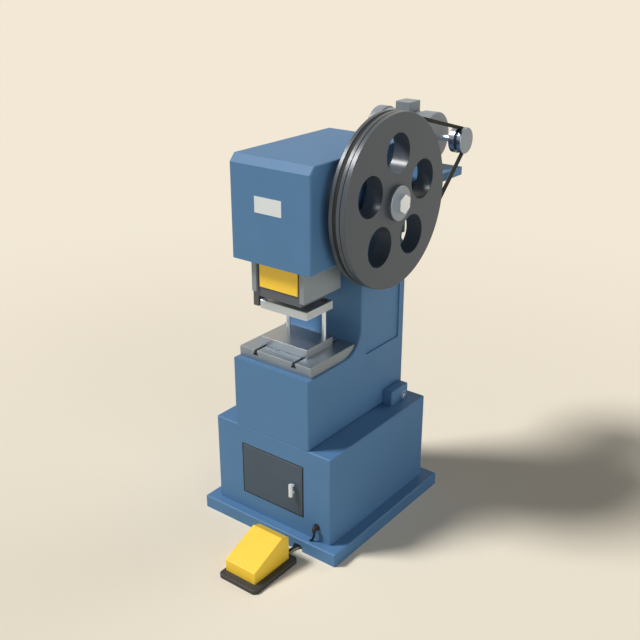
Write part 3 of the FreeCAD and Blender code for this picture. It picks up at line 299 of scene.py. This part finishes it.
looks = {
    "pressBlue": {"colour": (0.085, 0.200, 0.371), "Roughness": 0.50, "Specular IOR Level": 0.24,
                  "drift": 0.03, "patchy": 0.08, "peel": 260.0, "depth": 0.00008, "edge": 0.0015},
    "doorSlate": {"colour": (0.046, 0.072, 0.108), "Roughness": 0.50, "drift": 0.04, "patchy": 0.08,
                  "peel": 300.0, "depth": 0.00008, "edge": 0.0008},
    "switchSlate": {"colour": (0.070, 0.075, 0.080), "Roughness": 0.50, "drift": 0.05, "patchy": 0.08,
                    "peel": 420.0, "depth": 0.00008, "edge": 0.0010},
    "ramSlate": {"colour": (0.085, 0.098, 0.118), "Roughness": 0.45, "drift": 0.05, "patchy": 0.08,
                 "peel": 340.0, "depth": 0.00008, "edge": 0.0010},
    "safetyYellow": {"colour": (0.99, 0.645, 0.044), "Roughness": 0.36, "drift": 0.02, "patchy": 0.08,
                     "peel": 380.0, "depth": 0.00006, "edge": 0.0010},
    "motorGrey": {"colour": (0.236, 0.267, 0.299), "Roughness": 0.40, "drift": 0.03, "patchy": 0.08,
                  "peel": 300.0, "depth": 0.00008, "edge": 0.0015},
    "wheelBlack": {"colour": (0.057, 0.072, 0.092), "Roughness": 0.45, "drift": 0.04, "patchy": 0.08,
                   "skin": 120.0, "depth": 0.00008, "edge": 0.0015, "sides": 0.33, "front": 0.301,
                   "rear": 0.230},
    "pedalBlack": {"colour": (0.030, 0.030, 0.030), "Roughness": 0.55, "drift": 0.08, "patchy": 0.10,
                   "skin": 260.0, "depth": 0.00015, "edge": 0.0010},
    "gibGrey": {"colour": (0.240, 0.282, 0.322), "Roughness": 0.46, "drift": 0.05, "patchy": 0.12,
                "Metallic": 0.25, "marks": (40.0, 40.0, 900.0), "depth": 0.00003, "edge": 0.0010},
    "dieSteel": {"colour": (0.345, 0.370, 0.400), "Roughness": 0.34, "drift": 0.04, "patchy": 0.12,
                 "Metallic": 0.90, "marks": (30.0, 900.0, 900.0), "depth": 0.00003, "edge": 0.0003,
                 "dull": 0.35, "top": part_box("lower_die_shoe")[1][2]},
    "upperSteel": {"colour": (0.52, 0.58, 0.64), "Roughness": 0.46, "drift": 0.04, "patchy": 0.12,
                   "Metallic": 0.85, "marks": (30.0, 900.0, 900.0), "depth": 0.00003, "edge": 0.0003},
    "tableSteel": {"colour": (0.285, 0.335, 0.385), "Roughness": 0.38, "drift": 0.06, "patchy": 0.14,
                   "Metallic": 0.75, "marks": (900.0, 30.0, 900.0), "depth": 0.00004, "edge": 0.0003,
                   "dull": 0.35, "top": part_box("bolster")[1][2]},
    "brightSteel": {"colour": (0.69, 0.76, 0.85), "Roughness": 0.24, "drift": 0.04, "patchy": 0.10,
                    "Metallic": 0.95, "marks": (500.0, 500.0, 500.0), "depth": 0.00001, "edge": 0.0008},
    "satinSteel": {"colour": (0.80, 0.85, 0.89), "Roughness": 0.42, "drift": 0.02, "patchy": 0.08,
                   "Metallic": 0.35, "marks": (500.0, 500.0, 500.0), "depth": 0.00001, "edge": 0.0008},
    "blackScrew": {"colour": (0.045, 0.045, 0.048), "Roughness": 0.42, "drift": 0.08, "patchy": 0.12,
                   "Metallic": 0.6, "marks": (400.0, 400.0, 400.0), "depth": 0.00002, "edge": 0.0006},
    "zincSheet": {"colour": (0.55, 0.57, 0.60), "Roughness": 0.40, "drift": 0.08, "patchy": 0.15,
                  "Metallic": 0.8, "marks": (60.0, 60.0, 60.0), "depth": 0.00002, "edge": 0.0006},
    "plateAluminium": {"colour": (0.70, 0.76, 0.79), "Roughness": 0.42, "drift": 0.02, "patchy": 0.08,
                       "Metallic": 0.20, "marks": (20.0, 900.0, 1500.0), "depth": 0.00001, "edge": 0.0005},
    "bronze": {"colour": (0.45, 0.26, 0.10), "Roughness": 0.36, "drift": 0.08, "patchy": 0.12,
               "Metallic": 0.9, "marks": (500.0, 500.0, 500.0), "depth": 0.00002, "edge": 0.0006},
    "hubSteel": {"colour": (0.268, 0.312, 0.372), "Roughness": 0.36, "drift": 0.04, "patchy": 0.10,
                 "Metallic": 0.5, "centre": wheelAxis, "rings": 700.0, "depth": 0.00002, "edge": 0.0010},
    "pulleySteel": {"colour": (0.245, 0.288, 0.362), "Roughness": 0.26, "drift": 0.04, "patchy": 0.10,
                    "Metallic": 0.9, "centre": motorAxis, "rings": 700.0, "depth": 0.00002, "edge": 0.0010},
    "beltRubber": {"colour": (0.016, 0.018, 0.017), "Roughness": 0.70, "Specular IOR Level": 0.3,
                   "drift": 0.12, "patchy": 0.10, "grain": 900.0, "depth": 0.00008, "edge": 0.0012},
    "blackPlastic": {"colour": (0.028, 0.028, 0.030), "Roughness": 0.65, "Specular IOR Level": 0.3,
                     "drift": 0.10, "patchy": 0.10, "grain": 1100.0, "depth": 0.00006, "edge": 0.0008},
    "cableBlack": {"colour": (0.014, 0.015, 0.015), "Roughness": 0.70, "Specular IOR Level": 0.25,
                   "drift": 0.12, "patchy": 0.10, "grain": 1400.0, "depth": 0.00005, "edge": 0.0004},
}
makers = {
    machinePaint: ["pressBlue", "doorSlate", "switchSlate", "ramSlate", "safetyYellow", "motorGrey"],
    sandCast: ["pedalBlack"],
    wheelCast: ["wheelBlack"],
    groundSteel: ["gibGrey", "dieSteel", "upperSteel", "tableSteel", "brightSteel", "satinSteel",
                  "blackScrew", "zincSheet", "plateAluminium", "bronze"],
    turnedMetal: ["hubSteel", "pulleySteel"],
    mouldedSkin: ["beltRubber", "blackPlastic", "cableBlack"],
}
materials = {name: maker(name, looks[name]) for maker, names in makers.items() for name in names}

finishes = {
    "pressBlue": ["base_casting", "c_frame", "pivot_lug_left", "pivot_lug_right", "rear_cover",
                  "motor_bracket", "bearing_caps"],
    "doorSlate": ["cabinet_door"],
    "switchSlate": ["slide_switch"],
    "ramSlate": ["ram"],
    "safetyYellow": ["ram_plate", "pedal_treadle"],
    "motorGrey": ["motor_housing", "motor_bells", "terminal_box"],
    "wheelBlack": ["flywheel"],
    "pedalBlack": ["pedal_base"],
    "gibGrey": ["gib_left", "gib_right", "yoke", "clutch_ring", "pinion", "bull_gear"],
    "dieSteel": ["lower_die_shoe"],
    "upperSteel": ["upper_die_shoe"],
    "tableSteel": ["bolster"],
    "satinSteel": ["door_handle"],
    "brightSteel": ["door_pins", "pivot_bolts", "guide_post_left", "guide_post_right", "die_shank",
                    "adjusting_screw", "crankshaft", "back_shaft", "hub_bolt", "motor_shaft", "pedal_pin",
                    "pedal_spring"],
    "blackScrew": ["bolster_bolts", "cap_screws", "lock_nut", "flywheel_key"],
    "zincSheet": ["control_plate"],
    "plateAluminium": ["nameplate"],
    "bronze": ["guide_bushes", "slide_block", "shaft_bearing_left", "shaft_bearing_right",
               "crank_bearing_left", "crank_bearing_right"],
    "hubSteel": ["hub_washer"],
    "pulleySteel": ["motor_pulley"],
    "beltRubber": ["drive_belt"],
    "blackPlastic": ["door_catch", "contactor", "pedal_switch", "pedal_gland", "cable_elbow"],
    "cableBlack": ["pedal_cable"],
}
for finish, members in finishes.items():
    for member in members:
        mesh = nodes[member].data
        mesh.materials.clear()
        mesh.materials.append(materials[finish])
print("finishes on", sum(len(members) for members in finishes.values()), "nodes")

pedalCable = {
    "diameter": 0.010,
    "route": [(0.231, -0.362, 0.106), (0.231, -0.362, 0.086), (0.218, -0.360, 0.060),
              (0.198, -0.357, 0.036), (0.175, -0.358, 0.019), (0.1555, -0.375, 0.010),
              (0.145, -0.403, 0.009), (0.145, -0.430, 0.009)],
    "length": 0.191,
    "sideSteps": 6,
    "routeSteps": 16,
}


def layCable(cable):
    curve = bpy.data.curves.new("pedalCable", "CURVE")
    curve.dimensions = "3D"
    curve.bevel_depth = cable["diameter"] / 2
    curve.bevel_resolution = cable["sideSteps"]
    curve.use_fill_caps = True
    spline = curve.splines.new("NURBS")
    spline.points.add(len(cable["route"]) - 1)
    for point, place in zip(spline.points, cable["route"]):
        point.co = (*place, 1)
    spline.order_u = 3
    spline.use_endpoint_u = True
    spline.resolution_u = cable["routeSteps"]
    curve.materials.append(materials["cableBlack"])
    piece = addObject("pedalCable", curve)
    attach(piece, "base")
    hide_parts("pedal_cable")


layCable(pedalCable)
print("cable laid")

treadleSpring = {
    "wire": 0.0024,
    "turns": 7.5,
    "stepsPerTurn": 40,
    "sides": 12,
    "closedPitch": 0.0025,
    "closedTurns": 0.6,
    "openingTurns": 1.0,
    "kept": 0.948,
}


def coilSpring(look):
    # Centre line: x = r cos a, y = r sin a, z the running sum of the pitch, which is close at both ends.
    # Wire: centre + w (cos p out + sin p up), out = (cos a, sin a, 0), and up square to it and to the run.
    low, high = (np.array(corner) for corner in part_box("pedal_spring"))
    middle = (low + high) / 2
    wire = look["wire"] / 2
    coil = (high[0] - low[0]) / 2 - wire
    steps, sides = int(look["turns"] * look["stepsPerTurn"]), look["sides"]
    turn = np.linspace(0, look["turns"], steps + 1)
    inward = np.minimum(turn, look["turns"] - turn)
    opened = np.clip((inward - look["closedTurns"]) / look["openingTurns"], 0, 1)
    rise = high[2] - low[2] - look["wire"]
    openSum = np.sum(opened[1:] + opened[:-1]) / 2 / look["stepsPerTurn"]
    extra = (rise - look["closedPitch"] * look["turns"]) / openSum
    pitch = look["closedPitch"] + extra * opened
    height = np.concatenate([[0], np.cumsum((pitch[1:] + pitch[:-1]) / 2) / look["stepsPerTurn"]])
    angle = turn * 2 * np.pi
    slope = pitch / (2 * np.pi)
    out = np.stack([np.cos(angle), np.sin(angle), 0 * angle], axis=1)
    up = np.stack([slope * np.sin(angle), -slope * np.cos(angle), coil + 0 * angle], axis=1)
    up /= np.linalg.norm(up, axis=1)[:, None]
    line = out * coil + np.stack([0 * height, 0 * height, height + wire], axis=1)
    line += np.array([middle[0], middle[1], low[2]])
    ring = np.arange(sides) * 2 * np.pi / sides
    points = (line[:, None] + wire * (np.cos(ring)[None, :, None] * out[:, None]
                                      + np.sin(ring)[None, :, None] * up[:, None])).reshape(-1, 3)
    along, across = np.meshgrid(np.arange(steps), np.arange(sides), indexing="ij")
    here, beside = along * sides + across, along * sides + (across + 1) % sides
    faces = np.stack([here, here + sides, beside + sides, beside], axis=-1).reshape(-1, 4).tolist()
    faces += [list(range(sides)), list(range((steps + 1) * sides - 1, steps * sides - 1, -1))]
    mesh = bpy.data.meshes.new("treadleSpring")
    mesh.from_pydata(points.tolist(), [], faces)
    mesh.polygons.foreach_set("use_smooth", np.ones(len(mesh.polygons), dtype=bool))
    mesh.materials.append(materials["brightSteel"])
    piece = addObject("treadleSpring", mesh)
    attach(piece, "base")
    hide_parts("pedal_spring")
    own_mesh(piece)


coilSpring(treadleSpring)
print("spring coiled")

# painted shade: a dark lip round the door that draws the doorway's gap and recess shadow
doorGapShadeLip = {
    "width": 0.0032,
    "height": 0.0012,
    "gap": 0.0016,
    "proud": 0.0020,
    "steps": 9,
}


def pressGapShadeLip(look):
    # A half-round dark rubber lip round the doorway, as painted shade: it stands in for the dark gap and the
    # shadow of the door's recess.
    # gap + w/2 (1 - cos t) out from the door's edge, and h sin t forward of the wall.
    low, high = (np.array(corner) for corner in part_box("cabinet_door"))
    sweep = np.linspace(0, np.pi, look["steps"])
    out = look["gap"] + look["width"] / 2 * (1 - np.cos(sweep))
    forward = look["height"] * np.sin(sweep)
    across, upright = np.array([-1, 1, 1, -1]), np.array([-1, -1, 1, 1])
    x = np.where(across < 0, low[0], high[0])[:, None] + across[:, None] * out
    z = np.where(upright < 0, low[2], high[2])[:, None] + upright[:, None] * out
    y = low[1] + look["proud"] - forward + 0 * x
    points = np.stack([x, y, z], axis=-1).reshape(-1, 3)
    corners, steps = len(across), look["steps"]
    corner, strip = np.meshgrid(np.arange(corners), np.arange(steps), indexing="ij")
    ahead, beside = (corner + 1) % corners, (strip + 1) % steps
    faces = np.stack([corner * steps + strip, corner * steps + beside,
                      ahead * steps + beside, ahead * steps + strip], axis=-1).reshape(-1, 4)
    mesh = bpy.data.meshes.new("doorGapShadeLip")
    mesh.from_pydata(points.tolist(), [], faces.tolist())
    mesh.materials.append(materials["beltRubber"])
    piece = addObject("doorGapShadeLip", mesh)
    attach(piece, "base")


pressGapShadeLip(doorGapShadeLip)
print("door seal pressed on")

studio = {
    "floorColour": (0.858, 0.776, 0.634),
    "backColour": (0.887, 0.807, 0.665),
    "backStrength": 1.0,
    "floorRoughness": 0.9,
    "floorShine": 0.0,
    "floorReach": 14.0,
    "fadeStart": 1.2,
    "fadeEnd": 4.5,
    "worldStrength": 0.08,
    "worldColour": (1.0, 1.0, 1.0),
    "sunDistance": 6,
    "suns": {"keySun": {"towards": (-0.477, -0.422, 0.771), "strength": 3.04, "spread": 15.0,
                        "colour": (1.0, 1.0, 1.0)},
             "fillSun": {"towards": (0.925, -0.370, 0.085), "strength": 1.07, "spread": 46.0,
                         "colour": (0.96, 1.0, 1.05)},
             "rimSun": {"towards": (0.346, 0.742, 0.574), "strength": 0.46, "spread": 35.0,
                        "colour": (1.0, 1.0, 1.0)}},
}


def stageFloor(look):
    reach = look["floorReach"]
    mesh = bpy.data.meshes.new("studioFloor")
    mesh.from_pydata([(-reach, -reach, 0), (reach, -reach, 0), (reach, reach, 0), (-reach, reach, 0)], [],
                     [(0, 1, 2, 3)])
    shade = Shade("studioFloor", {"colour": look["floorColour"], "Roughness": look["floorRoughness"],
                                  "Specular IOR Level": look["floorShine"]})
    x, y = shade.split()[:2]
    away = ((x * x + y * y) ** 0.5).between(look["fadeStart"], look["fadeEnd"])
    glow = shade.node("ShaderNodeEmission", {}, {"Color": (*look["backColour"], 1),
                                                 "Strength": look["backStrength"]})
    lit = Sock(shade, shade.surface.outputs[0])
    shade.send(shade.node("ShaderNodeMixShader", {}, [away, lit, glow]),
               shade.tree.nodes["Material Output"].inputs["Surface"])
    mesh.materials.append(shade.material)
    piece = addObject("studioFloor", mesh)


def lightWorld(look):
    world = bpy.data.worlds.new("studioWorld")
    bpy.context.scene.world = world
    world.use_nodes = True
    web = Web(world.node_tree)
    web.tree.nodes.clear()
    camera, glossy, through = web.node("ShaderNodeLightPath", {}, {},
                                       ["Is Camera Ray", "Is Glossy Ray", "Is Transmission Ray"])
    ambient = web.node("ShaderNodeBackground", {}, {"Color": (*look["worldColour"], 1),
                                                    "Strength": look["worldStrength"]})
    backdrop = web.node("ShaderNodeBackground", {}, {"Color": (*look["backColour"], 1),
                                                     "Strength": look["backStrength"]})
    blend = web.node("ShaderNodeMixShader", {}, [camera.larger(glossy).larger(through), ambient, backdrop])
    web.node("ShaderNodeOutputWorld", {}, {"Surface": blend}, [])


def hangLamps(look):
    for name, lamp in look["suns"].items():
        light = bpy.data.lights.new(name, "SUN")
        light.energy = lamp["strength"]
        light.color = lamp["colour"]
        light.angle = math.radians(lamp["spread"])
        piece = addObject(name, light)
        towards = Vector(lamp["towards"])
        piece.location = towards * look["sunDistance"]
        piece.rotation_euler = (-towards).to_track_quat("-Z", "Y").to_euler()


photoView = {
    "azimuth": 37.5594,
    "elevation": 22.8543,
    "distance": 3.74612,
    "target": (0.0, -0.0239, 0.8517),
    "lens": 51.5546,
    "sensor": 36.0,
}


def placeCamera(view):
    azimuth = math.radians(view["azimuth"])
    elevation = math.radians(view["elevation"])
    back = Vector((math.sin(azimuth) * math.cos(elevation), -math.cos(azimuth) * math.cos(elevation),
                   math.sin(elevation)))
    camera = bpy.data.cameras.new("photoCamera")
    camera.lens = view["lens"]
    camera.sensor_width = view["sensor"]
    piece = addObject("photoCamera", camera)
    piece.location = Vector(view["target"]) + back * view["distance"]
    piece.rotation_euler = (-back).to_track_quat("-Z", "Y").to_euler()
    bpy.context.scene.camera = piece


stageFloor(studio)
lightWorld(studio)
hangLamps(studio)
placeCamera(photoView)
bpy.context.scene.view_settings.view_transform = "Standard"
print("stage, lamps and camera set")
